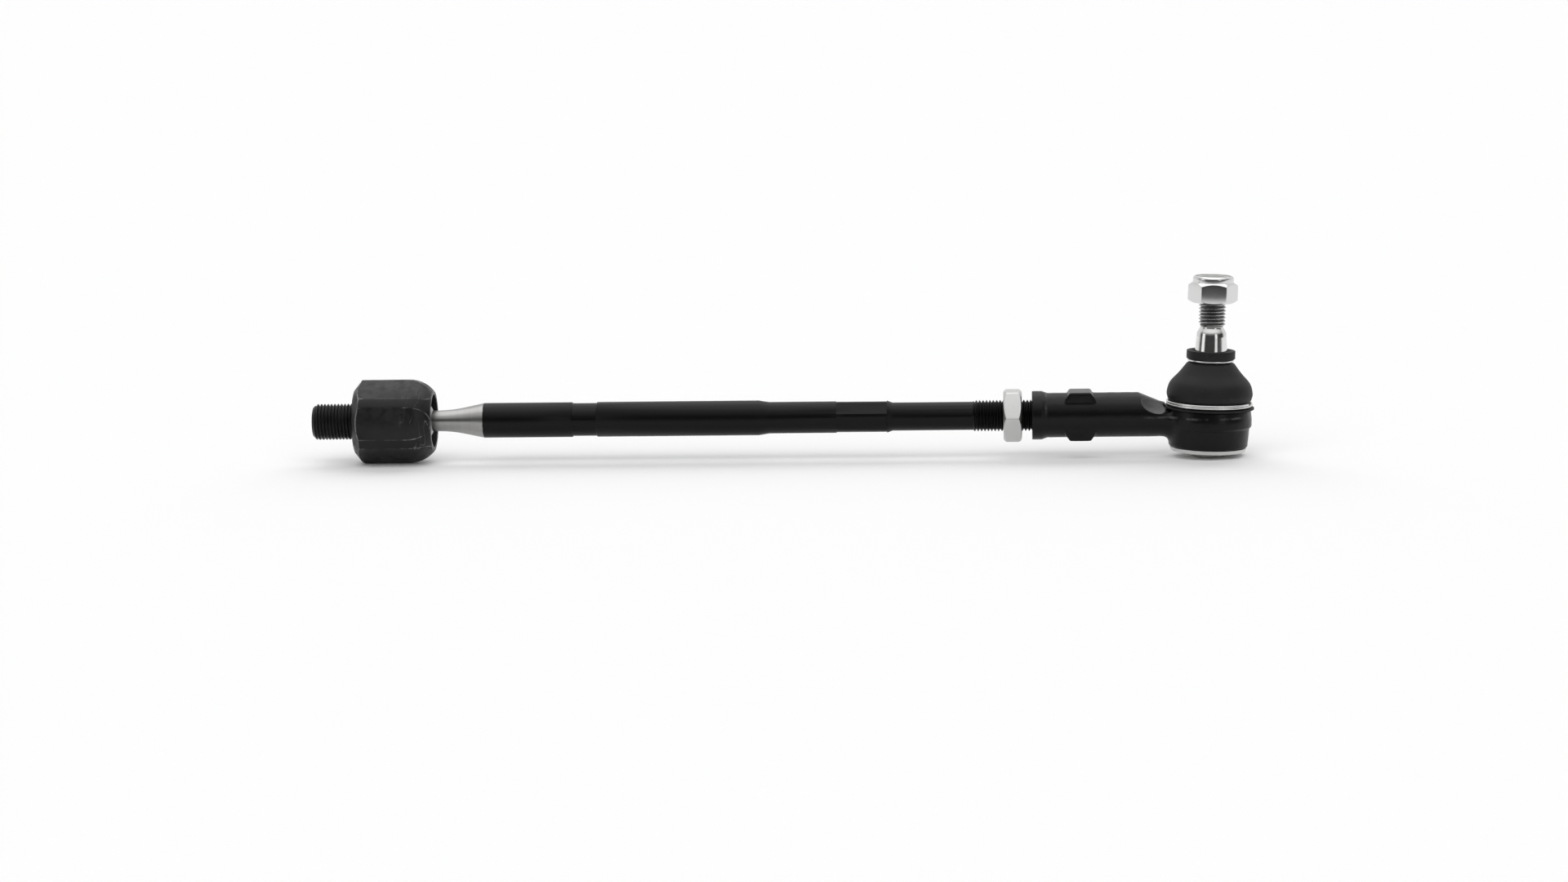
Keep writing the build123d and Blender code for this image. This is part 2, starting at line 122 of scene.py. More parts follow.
class Nodes:
    """A node tree in the making, whose node() adds a node and returns one of its outputs."""

    def __init__(self, tree):
        self.tree = tree

    def feed(self, node, key, value):
        """Links a socket, or sets a plain value."""
        if isinstance(value, bpy.types.NodeSocket):
            self.tree.links.new(value, node.inputs[key])
        else:
            node.inputs[key].default_value = value

    def node(self, kind, inputs, output=0, **settings):
        made = self.tree.nodes.new("ShaderNode" + kind)
        for key, value in settings.items():
            setattr(made, key, value)
        for key, value in inputs.items():
            self.feed(made, key, value)
        return made.outputs[output]

    def math(self, operation, a, b=0.0):
        return self.node("Math", {0: a, 1: b}, operation=operation)

    def chained(self, operation, first, *others):
        """One operation on several values, from the left."""
        result = first
        for other in others:
            result = self.math(operation, result, other)
        return result

    def plus(self, *values):
        return self.chained("ADD", *values)

    def minus(self, a, b):
        return self.math("SUBTRACT", a, b)

    def times(self, *values):
        return self.chained("MULTIPLY", *values)

    def largest(self, *values):
        return self.chained("MAXIMUM", *values)

    def apart(self, value, middle):
        """How far a value is from another, on either side."""
        return self.math("ABSOLUTE", self.minus(value, middle))

    def ramp(self, value, low, high, to_low=0.0, to_high=1.0):
        """Smooth step from to_low to to_high while value goes from low to high."""
        inputs = {"Value": value, "From Min": low, "From Max": high, "To Min": to_low, "To Max": to_high}
        return self.node("MapRange", inputs, interpolation_type="SMOOTHSTEP")

    def place(self):
        return self.node("TexCoord", {}, output="Object")

    def coordinate(self, axis):
        return self.node("SeparateXYZ", {0: self.place()}, output=axis)

    def radius_about(self, point, a, b):
        """Distance from an axis, from the two coordinates square to it."""
        across = [self.node("SeparateXYZ", {0: point}, output=axis) for axis in (a, b)]
        return self.math("SQRT", self.plus(*(self.times(part, part) for part in across)))

    def noise(self, scale, stretch=(1, 1, 1), detail=3.0, roughness=0.55):
        """Noise with about scale features a metre, drawn out along the axes whose stretch is small."""
        mapped = self.node("Mapping", {"Vector": self.place(), "Scale": stretch})
        inputs = {"Vector": mapped, "Scale": scale, "Detail": detail, "Roughness": roughness}
        return self.node("TexNoise", inputs)

    def blend(self, mask, a, b):
        """Between two numbers or number sockets."""
        return self.node("Mix", {0: mask, 2: a, 3: b}, data_type="FLOAT")

    def colour(self, mask, a, b):
        """Between two colours, each written as three numbers or taken from a socket."""
        a, b = ((*end, 1) if isinstance(end, tuple) else end for end in (a, b))
        return self.node("Mix", {0: mask, 6: a, 7: b}, output=2, data_type="RGBA")


class Shader(Nodes):
    """A material in the making."""

    def __init__(self, name):
        self.material = bpy.data.materials.new(name)
        self.material.use_nodes = True
        super().__init__(self.material.node_tree)
        self.surface = self.tree.nodes["Principled BSDF"]

    def plain_normal(self):
        return self.node("NewGeometry", {}, output="Normal")

    def rounded(self, radius):
        """Normal that is rounded over sharp edges."""
        return self.node("Bevel", {"Radius": radius}, samples=8)

    def rounded_where(self, mask, radius):
        """Normal that is rounded over sharp edges where the mask is 1."""
        inputs = {0: mask, 4: self.plain_normal(), 5: self.rounded(radius)}
        return self.node("Mix", inputs, output=1, data_type="VECTOR")

    def edge_mask(self, radius, amount):
        """1 along sharp edges and 0 on flat or gently curved faces."""
        normals = {0: self.plain_normal(), 1: self.rounded(radius)}
        alike = self.node("VectorMath", normals, output="Value", operation="DOT_PRODUCT")
        return self.ramp(self.minus(1.0, alike), 0.004, amount)

    def bump(self, height, strength, distance, normal=None):
        inputs = {"Height": height, "Strength": strength, "Distance": distance}
        if normal is not None:
            inputs["Normal"] = normal
        return self.node("Bump", inputs)

    def finish(self, **sockets):
        for key, value in sockets.items():
            self.feed(self.surface, key.replace("_", " "), value)
        return self.material


# Materials

def flat_borders(s):
    """1 along the lines where the socket's six flats run out into its round body and nose."""
    x, y, z = (s.coordinate(axis) for axis in "XYZ")
    radius = s.radius_about(s.place(), "Y", "Z")
    turn = s.plus(s.math("ARCTAN2", z, s.times(y, -1.0)), FLAT_TURN)
    off_flat = s.minus(s.math("FLOORED_MODULO", turn, math.radians(60)), math.radians(30))
    reach = s.times(radius, s.math("COSINE", off_flat))
    into_nose = s.largest(s.minus(x, NOSE_START), 0.0)
    squared = s.times(into_nose, into_nose)
    gaps = []
    for flank, nose, measured in ((ROUND_BODY, ROUND_NOSE, radius), (FLAT_BODY, FLAT_NOSE, reach)):
        rise = s.math("SQRT", s.minus(nose ** 2, squared))
        gaps.append(s.minus(s.plus(rise, flank - nose), measured))
    return s.ramp(s.plus(*gaps), 0.03 * MM, 0.15 * MM, 1.0, 0.0)


def phosphate():
    """Dark grey phosphate coat on a forging, rubbed lighter along its edges and scratched near its nose."""
    s = Shader("phosphated_steel")
    along = s.coordinate("X")
    mottle = s.noise(260, detail=5)
    grain = s.noise(2600, detail=2)

    body = s.ramp(along, 0.0, 0.3 * MM)
    rub = s.ramp(s.noise(330, detail=4), 0.36, 0.62, 0.25, 1.0)
    ends = s.largest(s.ramp(along, *RUBBED_BACK, 1.0, 0.2), s.ramp(along, *RUBBED_NOSE, 0.2, 1.0))
    borders = s.times(flat_borders(s), s.ramp(s.noise(190, detail=3), 0.40, 0.62, 0.0, 0.8))
    worn = s.times(s.largest(s.edge_mask(0.8 * MM, 0.015), borders), s.times(rub, ends, body))

    lines = s.apart(s.noise(150, stretch=(2, 0.5, 0.5), detail=1), 0.5)
    patch = s.times(s.ramp(along, *SCRATCHED_NOSE), s.ramp(s.noise(120, detail=2), 0.50, 0.60))
    scratches = s.times(s.ramp(lines, 0.003, 0.012, 0.45, 0.0), patch)

    coat = s.colour(mottle, (0.003, 0.003, 0.0031), (0.014, 0.014, 0.0143))
    bare = s.colour(grain, (0.16, 0.16, 0.16), (0.32, 0.32, 0.315))
    wear = s.largest(worn, scratches)
    height = s.plus(s.times(grain, 0.4), mottle)
    return s.finish(
        Base_Color=s.colour(wear, coat, bare),
        Metallic=s.times(wear, 0.6),
        Roughness=s.blend(s.ramp(mottle, 0.35, 0.65), 0.30, 0.52),
        Specular_IOR_Level=0.27,
        Normal=s.bump(height, 0.35, 0.05 * MM, s.rounded_where(body, 0.3 * MM)),
    )


def rod_paint():
    """Satin black paint on the rod, with the neck and ball left as bright turned steel."""
    s = Shader("black_rod")
    edge = s.plus(s.coordinate("X"), s.times(s.noise(600), 0.5 * MM))
    painted = s.ramp(edge, *PAINT_START)
    rings = s.noise(900, stretch=(1, 0.02, 0.02), detail=4, roughness=0.6)
    speck = s.noise(1500, detail=3)
    film = s.noise(140, detail=4)
    steel = s.colour(rings, (0.28, 0.28, 0.276), (0.40, 0.396, 0.388))
    paint = s.colour(film, (0.0012, 0.0012, 0.0013), (0.003, 0.003, 0.0032))
    height = s.blend(painted, s.times(rings, 0.6), s.plus(speck, film))
    return s.finish(
        Base_Color=s.colour(painted, steel, paint),
        Metallic=s.minus(1.0, painted),
        Roughness=s.blend(painted, s.blend(rings, 0.26, 0.36), s.blend(speck, 0.29, 0.36)),
        Specular_IOR_Level=0.17,
        Normal=s.bump(height, 0.25, 0.03 * MM),
    )


def forging_paint():
    """Semi-gloss black paint over the fine skin of a drop forging.

    It is worn at its parting line, and lighter with painted highlights along its edges, most of all the
    lug's, in the dish and on the collar.
    """
    s = Shader("black_forging")
    x, y, z = (s.coordinate(axis) for axis in "XYZ")
    skin = s.noise(700, detail=4)
    pits = s.noise(2400, detail=2)
    swell = s.noise(120, detail=3)
    patchy = s.ramp(s.noise(170, detail=4), 0.40, 0.62)

    off_line = s.math("ABSOLUTE", s.plus(z, s.times(s.noise(300), 0.5 * MM)))
    line = s.ramp(off_line, 0.25 * MM, 0.65 * MM, 1.0, 0.0)
    parting = s.times(line, s.ramp(x, *PARTING_LINE), patchy)

    # Painted highlight: lighter colour along sharp edges, strongest round the lug.
    edge_highlight_weight = s.ramp(s.apart(x, LUG_MIDDLE), 13 * MM, 15 * MM, 0.9, 0.25)
    edges = s.times(s.edge_mask(0.7 * MM, 0.12), edge_highlight_weight)

    # Painted highlight: the colour is lighter inside the dish.
    to_centre = {0: s.place(), 1: DISH_CENTRE}
    from_centre = s.node("VectorMath", to_centre, output="Value", operation="DISTANCE")
    inside = s.ramp(from_centre, DISH_RADIUS + 0.04 * MM, DISH_RADIUS + 0.2 * MM, 1.0, 0.0)
    dish = s.times(inside, 0.85)

    # Painted highlight: a light streak down the front of the sleeve's collar.
    front = s.times(s.ramp(z, 0.5 * MM, 4 * MM), s.ramp(y, -4 * MM, 0, 1.0, 0.0))
    painted_collar_highlight = s.ramp(s.apart(x, SLEEVE_COLLAR), 0.2 * MM, 0.8 * MM, 0.7, 0.0)
    collar = s.times(painted_collar_highlight, front, patchy)

    paint = s.colour(swell, (0.0015, 0.0015, 0.0016), (0.0038, 0.0038, 0.004))
    # Lighter grey for the worn parting line and for the painted highlights.
    rubbed = s.colour(pits, (0.05, 0.05, 0.05), (0.12, 0.12, 0.118))
    # The worn parting line together with the painted highlights on the edges, in the dish and on the collar.
    wear = s.largest(s.times(parting, 0.55), dish, edges, collar)
    height = s.plus(skin, s.times(pits, 0.3), s.times(parting, 1.5))
    return s.finish(
        Base_Color=s.colour(wear, paint, rubbed),
        Roughness=s.blend(skin, 0.24, 0.36),
        Specular_IOR_Level=0.20,
        Normal=s.bump(height, 0.55, 0.08 * MM, s.rounded(0.3 * MM)),
    )


def darker(colour, factor):
    return tuple(part * factor for part in colour)


def zinc(name, low, high, roughness, grain_scale, stretch):
    """Zinc plate with a fine grain, with painted shade along its edges and darker in a few spots."""
    s = Shader(name)
    grain = s.noise(grain_scale, stretch=stretch, detail=4, roughness=0.6)
    cloud = s.noise(190, detail=4)
    spots = s.ramp(s.noise(800, detail=3), 0.66, 0.74, 0.0, 0.25)
    edges = s.edge_mask(0.25 * MM, 0.3)
    plate = s.colour(s.times(s.plus(grain, cloud), 0.5), low, high)
    # Darker grey for a few random spots and for painted shade along the edges.
    spot_and_edge_shade = s.colour(cloud, darker(low, 0.6), darker(low, 0.8))
    clouded = s.blend(cloud, roughness - 0.05, roughness + 0.07)
    return s.finish(
        Base_Color=s.colour(s.largest(spots, s.times(edges, 0.45)), plate, spot_and_edge_shade),
        Metallic=1.0,
        Roughness=s.minus(clouded, s.times(edges, 0.08)),
        Normal=s.bump(grain, 0.22, 0.02 * MM, s.rounded(0.18 * MM)),
    )


def ground_steel():
    """Turned and polished shank of the stud with fine rings, and a greyer rolled thread with painted shade in
    its grooves.
    """
    s = Shader("ground_steel")
    into_joint = {"Rotation": (0, -STUD_LEAN, 0), "Location": OUTER_JOINT.inverted().translation}
    in_joint = s.node("Mapping", {"Vector": s.place(), **into_joint})
    height = s.node("SeparateXYZ", {0: in_joint}, output="Z")
    thread = s.ramp(height, STUD_THREAD_START - 0.6 * MM, STUD_THREAD_START)
    # Painted shade: the thread is darker the deeper a point lies in its grooves.
    groove_shade = s.ramp(s.radius_about(in_joint, "X", "Y"), 5.35 * MM, 5.95 * MM, 1.0, 0.0)
    rings = s.noise(1400, stretch=(0.03, 0.03, 1), detail=4, roughness=0.65)
    cloud = s.noise(210, detail=4)
    bright = s.colour(rings, (0.66, 0.66, 0.655), (0.80, 0.795, 0.78))
    grey = s.colour(cloud, (0.46, 0.46, 0.46), (0.62, 0.62, 0.615))
    # Painted shade colour for the thread's grooves.
    dark = s.colour(cloud, (0.13, 0.13, 0.13), (0.20, 0.20, 0.197))
    return s.finish(
        Base_Color=s.colour(s.times(thread, groove_shade), s.colour(thread, bright, grey), dark),
        Metallic=1.0,
        Roughness=s.blend(thread, s.blend(rings, 0.08, 0.15), s.blend(cloud, 0.16, 0.26)),
        Normal=s.bump(rings, 0.25, 0.02 * MM),
    )


def rubber():
    """Matt black moulded rubber with a fine skin and a trace of dust."""
    s = Shader("boot_rubber")
    skin = s.noise(1800, detail=3)
    cloud = s.noise(110, detail=5)
    black = s.colour(cloud, (0.006, 0.006, 0.006), (0.011, 0.011, 0.011))
    dusty = s.colour(cloud, (0.015, 0.015, 0.0145), (0.024, 0.024, 0.023))
    dust = s.ramp(s.noise(320, detail=6, roughness=0.7), 0.55, 0.75, 0.0, 0.6)
    return s.finish(
        Base_Color=s.colour(dust, black, dusty),
        Roughness=s.blend(cloud, 0.50, 0.64),
        Specular_IOR_Level=0.25,
        Normal=s.bump(skin, 0.30, 0.04 * MM),
    )


def plastic(name, low, high, roughness):
    """Moulded plastic with a faint skin."""
    s = Shader(name)
    cloud = s.noise(240, detail=3)
    skin = s.noise(2200, detail=2)
    return s.finish(
        Base_Color=s.colour(cloud, low, high),
        Roughness=s.blend(cloud, roughness, roughness + 0.1),
        Normal=s.bump(skin, 0.2, 0.02 * MM),
    )


MATERIALS = {
    "phosphated_steel": phosphate(),
    "black_rod": rod_paint(),
    "black_forging": forging_paint(),
    "zinc_nut": zinc("zinc_nut", (0.57, 0.57, 0.565), (0.67, 0.67, 0.66), 0.34, 900, (1, 0.25, 1)),
    "bright_zinc": zinc("bright_zinc", (0.60, 0.60, 0.60), (0.74, 0.74, 0.735), 0.16, 1100, (1, 1, 0.3)),
    "zinc_plate": zinc("zinc_plate", (0.62, 0.62, 0.61), (0.76, 0.76, 0.745), 0.34, 700, (1, 1, 0.2)),
    "spring_wire": zinc("spring_wire", (0.58, 0.58, 0.575), (0.74, 0.74, 0.73), 0.22, 1500, (0.4, 0.4, 1)),
    "ground_steel": ground_steel(),
    "boot_rubber": rubber(),
    "seat_plastic": plastic("seat_plastic", (0.62, 0.60, 0.54), (0.74, 0.72, 0.66), 0.40),
    "insert_plastic": plastic("insert_plastic", (0.62, 0.64, 0.60), (0.78, 0.79, 0.76), 0.35),
}


# Mesh building

def linked(name, data):
    obj = bpy.data.objects.new(name, data)
    bpy.context.scene.collection.objects.link(obj)
    return obj


def piece_from(name, mesh, slot, body, node, smooth_angle=32):
    """Links a mesh as a visible piece with its material and its body if it has one, and hides its CAD node.
    """
    obj = linked(name, mesh)
    mesh.materials.clear()
    mesh.materials.append(MATERIALS[slot])
    mesh.shade_smooth()
    mesh.set_sharp_from_angle(angle=math.radians(smooth_angle))
    if body:
        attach(obj, body)
    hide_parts(node)
    return obj


def mesh_from(name, bm):
    mesh = bpy.data.meshes.new(name)
    bmesh.ops.recalc_face_normals(bm, faces=bm.faces)
    bm.to_mesh(mesh)
    bm.free()
    return mesh


def skin_rings(bm, rings, caps):
    """Skins rings of equal length with quads, and closes both ends where caps is true."""
    made = [[bm.verts.new(point) for point in ring] for ring in rings]
    count = len(made[0])
    for a, b in zip(made, made[1:]):
        for i in range(count):
            bm.faces.new((a[i], a[(i + 1) % count], b[(i + 1) % count], b[i]))
    if caps:
        bm.faces.new(made[0])
        bm.faces.new(made[-1])


def spun(half_section, segments):
    """Closed solid about Z, from a function that gives its closed half section at each angle."""
    bm = bmesh.new()
    rings = []
    for segment in range(segments):
        angle = 2 * math.pi * segment / segments
        rings.append([(r * math.cos(angle), r * math.sin(angle), z) for r, z in half_section(angle)])
    rings.append(rings[0])
    skin_rings(bm, rings, caps=False)
    bmesh.ops.remove_doubles(bm, verts=bm.verts, dist=WELD)
    return bm


def rounded_corners(points, radius, steps=3):
    """Closed loop of 2-D points with each corner replaced by a short arc."""
    result = []
    for i, point in enumerate(points):
        here = Vector(point)
        before = Vector(points[i - 1]) - here
        after = Vector(points[(i + 1) % len(points)]) - here
        reach = min(radius, before.length * 0.45, after.length * 0.45)
        start, end = here + before.normalized() * reach, here + after.normalized() * reach
        for step in range(steps + 1):
            t = step / steps
            result.append(tuple(start * (1 - t) ** 2 + here * 2 * t * (1 - t) + end * t ** 2))
    return result


def on_outer_joint(height):
    return OUTER_JOINT @ Vector((0, 0, height))


# Threaded pieces

# Thread form over one pitch: share of the pitch, share of the depth above the root
THREAD_FORM = (
    (0.0, 0.08), (0.06, 0.0), (0.16, 0.0), (0.22, 0.08),
    (0.50, 0.92), (0.56, 1.0), (0.66, 1.0), (0.72, 0.92),
)
THREAD_PITCH = 1.5 * MM
THREAD_DEPTH = 0.90 * MM
THREAD_SIDES = 84


def thread(radius, start, end, start_radius, end_chamfer, runout):
    """Core with a helical thread about Z, faded in from start_radius and chamfered at its end."""
    root = radius - THREAD_DEPTH

    def radius_at(z, share):
        """Thread form held between the run-out, the lead-in cone and the end chamfer."""
        faded = start_radius - (start_radius - root) * min(1.0, (z - start) / runout)
        wanted = max(root + share * THREAD_DEPTH, faded if start_radius > root else root)
        lead_in = start_radius + (z - start)
        return min(wanted, lead_in, radius - end_chamfer + (end - z))

    bm = bmesh.new()
    turns = math.ceil((end - start) / THREAD_PITCH) + 2
    columns = []
    for side in range(turns * THREAD_SIDES + 1):
        angle = 2 * math.pi * side / THREAD_SIDES
        base = start + THREAD_PITCH * (side / THREAD_SIDES - 1)
        column = []
        for share, height in THREAD_FORM:
            z = min(max(base + share * THREAD_PITCH, start), end)
            r = radius_at(z, height)
            column.append(bm.verts.new((r * math.cos(angle), r * math.sin(angle), z)))
        columns.append(column)
    for side in range(len(columns) - 1):
        a, b = columns[side], columns[side + 1]
        for i in range(len(THREAD_FORM) - 1):
            bm.faces.new((a[i], b[i], b[i + 1], a[i + 1]))
        if side + THREAD_SIDES + 1 < len(columns):
            c, d = columns[side + THREAD_SIDES], columns[side + THREAD_SIDES + 1]
            bm.faces.new((a[-1], b[-1], d[0], c[0]))
    bmesh.ops.remove_doubles(bm, verts=bm.verts, dist=0.004 * MM)
    bmesh.ops.holes_fill(bm, edges=[edge for edge in bm.edges if edge.is_boundary], sides=0)
    return bm


def cut_copy(node, point, normal):
    """Copy of a CAD node's mesh without what lies beyond a plane, with the cut closed."""
    bm = bmesh.new()
    bm.from_mesh(NODES[node].data)
    bmesh.ops.remove_doubles(bm, verts=bm.verts, dist=WELD)
    geometry = bm.verts[:] + bm.edges[:] + bm.faces[:]
    plane = {"plane_co": point, "plane_no": normal, "clear_outer": True, "dist": WELD}
    cut = bmesh.ops.bisect_plane(bm, geom=geometry, **plane)
    edges = [item for item in cut["geom_cut"] if isinstance(item, bmesh.types.BMEdge)]
    bmesh.ops.holes_fill(bm, edges=edges, sides=0)
    return bm


def threaded_node(name, node, body, slot, cut_point, cut_normal, thread_bm, placement):
    """CAD node whose plain thread cylinder is exchanged for one with a real helix."""
    bm = cut_copy(node, cut_point, cut_normal)
    helix = mesh_from("thread", thread_bm)
    helix.transform(placement)
    bm.from_mesh(helix)
    bpy.data.meshes.remove(helix)
    mesh = bpy.data.meshes.new(name)
    bm.to_mesh(mesh)
    bm.free()
    return piece_from(name, mesh, slot, body, node, smooth_angle=15)


def rack_thread():
    helix = thread(
        radius=8.0 * MM, start=-0.5 * MM, end=19.0 * MM,
        start_radius=7.2 * MM, end_chamfer=1.5 * MM, runout=0.8 * MM,
    )
    threaded_node(
        "inner_socket_threaded", "inner_socket", "socket", "phosphated_steel",
        (-0.15 * MM, 0, 0), (-1, 0, 0), helix, AWAY_FROM_ROD,
    )


def rod_thread():
    helix = thread(
        radius=6.9 * MM, start=ROD_THREAD_START - 0.1 * MM, end=ROD_THREAD_END,
        start_radius=6.25 * MM, end_chamfer=1.0 * MM, runout=2.2 * MM,
    )
    threaded_node(
        "tie_rod_shaft_threaded", "tie_rod_shaft", "rod", "black_rod",
        (ROD_THREAD_START, 0, 0), (1, 0, 0), helix, ALONG_ROD,
    )


def stud_thread():
    helix = thread(
        radius=6.0 * MM, start=STUD_THREAD_START - 0.1 * MM, end=STUD_THREAD_END,
        start_radius=5.0 * MM, end_chamfer=1.0 * MM, runout=1.0 * MM,
    )
    threaded_node(
        "ball_stud_threaded", "ball_stud", "stud", "ground_steel",
        on_outer_joint(STUD_THREAD_START), JOINT_AXES @ Vector((0, 0, 1)), helix, OUTER_JOINT,
    )


rack_thread()
rod_thread()
stud_thread()


# Nuts

def soft_min(values, softness):
    """Smallest of several lengths, rounded off where two are close."""
    low = min(values)
    return low - softness * math.log(sum(math.exp((low - value) / softness) for value in values))


def hexagon_radius(angle, across_flats):
    """Distance from the axis to a hexagon with slightly rounded corners."""
    reaches = []
    for flat in range(6):
        facing = math.cos(angle - math.radians(60 * flat + 90))
        if facing > 0.05:
            reaches.append(across_flats / 2 / facing)
    return soft_min(reaches, 0.09 * MM)


def nut(name, node, body, slot, across_flats, height, bore, top, top_angle, placement):
    """Hexagon nut with turned corners, rounded edges and a countersunk bore, and the given top."""
    face_radius = across_flats / 2 * 0.94

    def half_section(angle):
        corner = hexagon_radius(angle, across_flats)
        beyond = max(0.0, corner - face_radius)
        drop = beyond * math.tan(math.radians(30))
        top_drop = beyond * math.tan(math.radians(top_angle))
        face = min(face_radius, corner - 0.02 * MM)
        lower = [(bore, 0.9 * MM), (bore + 0.75 * MM, 0), (face, 0), (corner, drop)]
        return rounded_corners(lower + [(corner, height - top_drop), (face, height)] + top, 0.22 * MM)

    bm = spun(half_section, segments=240)
    bmesh.ops.transform(bm, matrix=placement, verts=bm.verts)
    return piece_from(name, mesh_from(name, bm), slot, body, node, smooth_angle=20)


def lock_nut():
    height = 8.2 * MM
    at_start = Matrix.Translation((LOCK_NUT_START, 0, 0))
    nut(
        "lock_nut_dressed", "lock_nut", "lock_nut", "zinc_nut",
        across_flats=22 * MM, height=height, bore=LOCK_NUT_BORE,
        top=[(7.7 * MM, height), (LOCK_NUT_BORE, 7.3 * MM)], top_angle=30,
        placement=at_start @ Matrix.Rotation(math.radians(90), 4, "X") @ ALONG_ROD,
    )


def stud_nut():
    """The top of this nut is a rolled collar that holds the locking insert."""
    height, collar_top, pocket = 9.0 * MM, 11.8 * MM, 8.05 * MM
    collar = [
        (8.95 * MM, height), (8.95 * MM, 10.9 * MM), (8.3 * MM, collar_top), (7.55 * MM, collar_top),
        (7.75 * MM, 11.3 * MM), (pocket, 11.2 * MM), (pocket, height), (STUD_NUT_BORE, height),
    ]
    nut(
        "stud_nut_dressed", "stud_nut", "stud_nut", "bright_zinc",
        across_flats=19 * MM, height=height, bore=STUD_NUT_BORE, top=collar, top_angle=34,
        placement=OUTER_JOINT @ Matrix.Translation((0, 0, STUD_NUT_START)),
    )


lock_nut()
stud_nut()


# Lower wire clip

def tube(points, radius, sides=14):
    """Wire along a line of points, with slightly chamfered cut ends."""
    bm = bmesh.new()
    rings = []
    last = len(points) - 1
    for i, point in enumerate(points):
        ahead = (points[min(i + 1, last)] - points[max(i - 1, 0)]).normalized()
        side = ahead.cross(Vector((0, 0, 1))).normalized()
        up = side.cross(ahead)
        r = radius * (0.75 if i in (0, last) else 1.0)
        angles = [2 * math.pi * k / sides for k in range(sides)]
        rings.append([point + side * (r * math.cos(a)) + up * (r * math.sin(a)) for a in angles])
    skin_rings(bm, rings, caps=True)
    return bm


def lower_clip():
    """Spring wire wound nearly twice round the boot's foot, climbing as its first turn ends."""
    low, pitch, radius, wire = 4.4 * MM, 1.0 * MM, 18.55 * MM, 0.5 * MM
    start, end, step = 40, 694, 3
    climb_start, climb_length = 285, 75
    points = []
    for degrees in range(start, end + 1, step):
        angle = math.radians(degrees)
        rise = min(1.0, max(0.0, (degrees - start - climb_start) / climb_length))
        z = low + pitch * rise * rise * (3 - 2 * rise)
        points.append(Vector((radius * math.cos(angle), radius * math.sin(angle), z)))
    bm = tube(points, wire)
    bmesh.ops.transform(bm, matrix=OUTER_JOINT, verts=bm.verts)
    mesh = mesh_from("lower_boot_clip_wire", bm)
    return piece_from("lower_boot_clip_wire", mesh, "spring_wire", "rod_end", "lower_boot_clip")


lower_clip()


# Rod end forging

def evaluated_mesh(obj):
    graph = bpy.context.evaluated_depsgraph_get()
    return bpy.data.meshes.new_from_object(obj.evaluated_get(graph))


def smooth_step(value, low, high):
    """0 below low, 1 above high and smooth between them."""
    t = min(1.0, max(0.0, (value - low) / (high - low)))
    return t * t * (3 - 2 * t)


def in_joint(point):
    """Distance from the outer joint's axis, height along it, and place along the rod, in millimetres."""
    local = OUTER_JOINT.inverted() @ point
    return math.hypot(local.x, local.y) / MM, local.z / MM, local.x / MM


def edge_softness(point):
    """How much the forging is smoothed, with none at its machined faces.

    Those are the sleeve's front face and bore, the cup's lower rim and what lies inside its wall.
    """
    near_face, near_bore, bore_end = 301.4 * MM, 8.3 * MM, 346 * MM
    near_rim, inside_wall = -13.4, 16.6
    radial, height, _ = in_joint(point)
    bored = point.x < bore_end and math.hypot(point.y, point.z) < near_bore
    machined = point.x < near_face or bored or height < near_rim or radial < inside_wall
    return 0.0 if machined else 0.3


def root_softness(point):
    """How much the corner between the arm and the cup is filled out into a forged fillet."""
    cup_wall = 19.3
    radial, height, ahead = in_joint(point)
    beside = 1 - smooth_step(abs(radial - cup_wall), 1.0, 5.0)
    below = 1 - smooth_step(height, 0.2, 1.8)
    above = smooth_step(height, -13.2, -11.0)
    return beside * below * above * (1 - smooth_step(ahead, -14.0, -8.0))


def everywhere(point):
    return 1.0


def smoothed(obj, softness, factor, iterations):
    """Replaces an object's mesh by a copy that is smoothed where softness(point) says."""
    group = obj.vertex_groups.new(name="soft")
    for vertex in obj.data.vertices:
        weight = softness(vertex.co)
        if weight > 0:
            group.add([vertex.index], weight, "REPLACE")
    smooth = obj.modifiers.new("smooth", "SMOOTH")
    smooth.factor = factor
    smooth.iterations = iterations
    smooth.vertex_group = "soft"
    mesh = evaluated_mesh(obj)
    obj.modifiers.clear()
    obj.vertex_groups.clear()
    obj.data = mesh


def forged_skin(vertex):
    """Place of a point once the skin is uneven, the arm's end reaches the clip and the dish is pressed in."""
    uneven = noise.noise(vertex.co * 260) * 0.05 + noise.noise(vertex.co * 900) * 0.015
    place = vertex.co + vertex.normal * (uneven * MM * (edge_softness(vertex.co) > 0))
    radial, height, ahead = in_joint(place)
    if ahead < 0 and radial > 19.9:
        to_clip = 0.9 * MM * smooth_step(height, 3.5, 4.1) * (1 - smooth_step(radial, 20.6, 22.4))
        place += JOINT_AXES @ Vector((1, 0, 0)) * to_clip
    from_dish = place - DISH_CENTRE
    if from_dish.length < DISH_RADIUS:
        place = DISH_CENTRE + from_dish.normalized() * DISH_RADIUS
    return place


